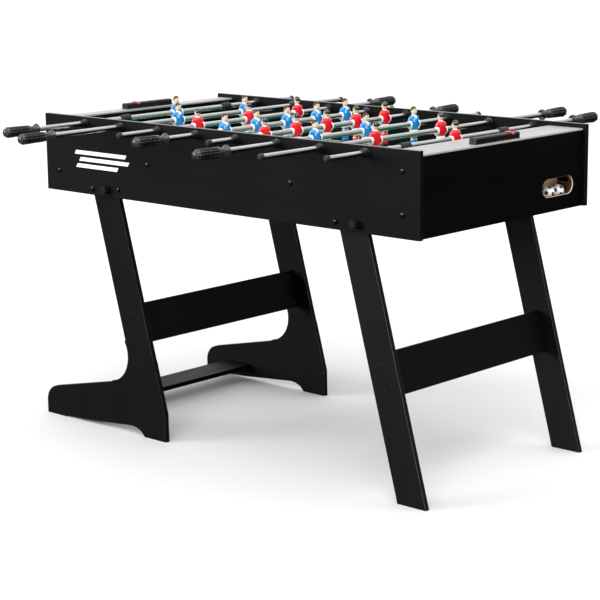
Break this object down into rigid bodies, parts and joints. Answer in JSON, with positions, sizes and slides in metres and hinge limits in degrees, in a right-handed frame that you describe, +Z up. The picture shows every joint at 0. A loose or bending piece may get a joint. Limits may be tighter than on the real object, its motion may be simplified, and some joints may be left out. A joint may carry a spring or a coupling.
{
  "type": "foosball table",
  "caption": "Folding home foosball table with black panels, green field, chrome rods carrying blue and red players, ball slots, score markers, and two hinged leg frames",
  "frame": {"origin": "middle of the footprint box at floor level", "axes": "+X along the table to the end with the loaded ball slot, +Y across it away from the near side, +Z up"},
  "size_m": [1.2695, 1.245, 0.8165],
  "materials": {
    "black_board": "satin black laminate on fibreboard",
    "field_green": "printed green laminate",
    "pale_deck": "pale grey laminate",
    "raw_board": "raw fibreboard",
    "black_plastic": "matte moulded",
    "red_plastic": "gloss moulded",
    "ball_white": "gloss with dark patches",
    "dark_steel": "dark zinc",
    "black_rubber": "soft black",
    "rod_chrome": "chrome plated tube",
    "team_blue": "painted moulded figures",
    "team_red": "painted moulded figures"
  },
  "bodies": {
    "cabinet": {"side_panel_near": "black_board", "side_panel_far": "black_board", "end_panel_left": "black_board", "end_panel_right": "black_board", "playfield": "field_green", "end_deck_left": "pale_deck", "end_deck_right": "pale_deck", "goal_walls": "black_board", "ball_trays": "raw_board", "rod_bushings": "black_plastic", "score_rails": "black_plastic", "cabinet_screws": "dark_steel"},
    "marker_left": {"score_marker_left": "red_plastic"},
    "marker_right": {"score_marker_right": "red_plastic"},
    "balls": {"balls": "ball_white"},
    "left_legs": {"left_leg_near": "black_board", "left_leg_far": "black_board", "left_crossboard": "black_board", "left_foot_bar": "black_board", "left_leg_screws": "dark_steel"},
    "right_legs": {"right_leg_near": "black_board", "right_leg_far": "black_board", "right_crossboard": "black_board", "right_leg_screws": "dark_steel"},
    "lock_knobs": {"left_lock_knobs": "black_plastic"},
    "pivot_knobs": {"right_pivot_knobs": "black_plastic"},
    "carriage_1": {"end_cap_1": "black_rubber", "bumpers_1": "black_rubber"},
    "spinner_1": {"rod_1": "rod_chrome", "players_1": "team_blue", "handle_1": "black_plastic"},
    "carriage_2": {"end_cap_2": "black_rubber"},
    "spinner_2": {"rod_2": "rod_chrome", "players_2": "team_blue", "handle_2": "black_plastic"},
    "carriage_3": {"end_cap_3": "black_rubber"},
    "spinner_3": {"rod_3": "rod_chrome", "players_3": "team_red", "handle_3": "black_plastic"},
    "carriage_4": {"end_cap_4": "black_rubber"},
    "spinner_4": {"rod_4": "rod_chrome", "players_4": "team_blue", "handle_4": "black_plastic"},
    "carriage_5": {"end_cap_5": "black_rubber"},
    "spinner_5": {"rod_5": "rod_chrome", "players_5": "team_red", "handle_5": "black_plastic"},
    "carriage_6": {"end_cap_6": "black_rubber"},
    "spinner_6": {"rod_6": "rod_chrome", "players_6": "team_blue", "handle_6": "black_plastic"},
    "carriage_7": {"end_cap_7": "black_rubber"},
    "spinner_7": {"rod_7": "rod_chrome", "players_7": "team_red", "handle_7": "black_plastic"},
    "carriage_8": {"end_cap_8": "black_rubber", "bumpers_8": "black_rubber"},
    "spinner_8": {"rod_8": "rod_chrome", "players_8": "team_red", "handle_8": "black_plastic"}
  },
  "joints": [
    {"name": "left_legs_fold", "type": "hinge", "parent": "cabinet", "child": "left_legs", "pos_m": [-0.412, 0, 0.614], "axis": [0, 1, 0], "range_deg": [0, 90]},
    {"name": "right_legs_fold", "type": "hinge", "parent": "cabinet", "child": "right_legs", "pos_m": [0.451, 0, 0.617], "axis": [0, 1, 0], "range_deg": [0, 105]},
    {"name": "lock_knobs_turn", "type": "hinge", "parent": "cabinet", "child": "lock_knobs", "pos_m": [-0.359, 0, 0.616], "axis": [0, 1, 0], "continuous": true},
    {"name": "pivot_knobs_turn", "type": "hinge", "parent": "cabinet", "child": "pivot_knobs", "pos_m": [0.451, 0, 0.617], "axis": [0, 1, 0], "continuous": true},
    {"name": "marker_left_slide", "type": "slide", "parent": "cabinet", "child": "marker_left", "axis": [0, 1, 0], "range_m": [-0.032, 0.112]},
    {"name": "marker_right_slide", "type": "slide", "parent": "cabinet", "child": "marker_right", "axis": [0, 1, 0], "range_m": [-0.126, 0.018]},
    {"name": "balls_out", "type": "hinge", "parent": "cabinet", "child": "balls", "pos_m": [0.621, 0, 0.62], "axis": [0, 1, 0], "range_deg": [0, 105]},
    {"name": "rod_1_slide", "type": "slide", "parent": "cabinet", "child": "carriage_1", "axis": [0, 1, 0], "range_m": [-0.094, 0.094]},
    {"name": "rod_1_spin", "type": "hinge", "parent": "carriage_1", "child": "spinner_1", "pos_m": [-0.434, 0, 0.774], "axis": [0, 1, 0], "continuous": true},
    {"name": "rod_2_slide", "type": "slide", "parent": "cabinet", "child": "carriage_2", "axis": [0, 1, 0], "range_m": [-0.1485, 0.1485]},
    {"name": "rod_2_spin", "type": "hinge", "parent": "carriage_2", "child": "spinner_2", "pos_m": [-0.304, 0, 0.774], "axis": [0, 1, 0], "continuous": true},
    {"name": "rod_3_slide", "type": "slide", "parent": "cabinet", "child": "carriage_3", "axis": [0, 1, 0], "range_m": [-0.0895, 0.0895]},
    {"name": "rod_3_spin", "type": "hinge", "parent": "carriage_3", "child": "spinner_3", "pos_m": [-0.174, 0, 0.774], "axis": [0, 1, 0], "continuous": true},
    {"name": "rod_4_slide", "type": "slide", "parent": "cabinet", "child": "carriage_4", "axis": [0, 1, 0], "range_m": [-0.0515, 0.0515]},
    {"name": "rod_4_spin", "type": "hinge", "parent": "carriage_4", "child": "spinner_4", "pos_m": [-0.044, 0, 0.774], "axis": [0, 1, 0], "continuous": true},
    {"name": "rod_5_slide", "type": "slide", "parent": "cabinet", "child": "carriage_5", "axis": [0, 1, 0], "range_m": [-0.0515, 0.0515]},
    {"name": "rod_5_spin", "type": "hinge", "parent": "carriage_5", "child": "spinner_5", "pos_m": [0.086, 0, 0.774], "axis": [0, 1, 0], "continuous": true},
    {"name": "rod_6_slide", "type": "slide", "parent": "cabinet", "child": "carriage_6", "axis": [0, 1, 0], "range_m": [-0.0825, 0.0965]},
    {"name": "rod_6_spin", "type": "hinge", "parent": "carriage_6", "child": "spinner_6", "pos_m": [0.216, -0.007, 0.774], "axis": [0, 1, 0], "continuous": true},
    {"name": "rod_7_slide", "type": "slide", "parent": "cabinet", "child": "carriage_7", "axis": [0, 1, 0], "range_m": [-0.1415, 0.1555]},
    {"name": "rod_7_spin", "type": "hinge", "parent": "carriage_7", "child": "spinner_7", "pos_m": [0.346, -0.007, 0.774], "axis": [0, 1, 0], "continuous": true},
    {"name": "rod_8_slide", "type": "slide", "parent": "cabinet", "child": "carriage_8", "axis": [0, 1, 0], "range_m": [-0.094, 0.094]},
    {"name": "rod_8_spin", "type": "hinge", "parent": "carriage_8", "child": "spinner_8", "pos_m": [0.476, 0, 0.774], "axis": [0, 1, 0], "range_deg": [-75, 250]}
  ]
}
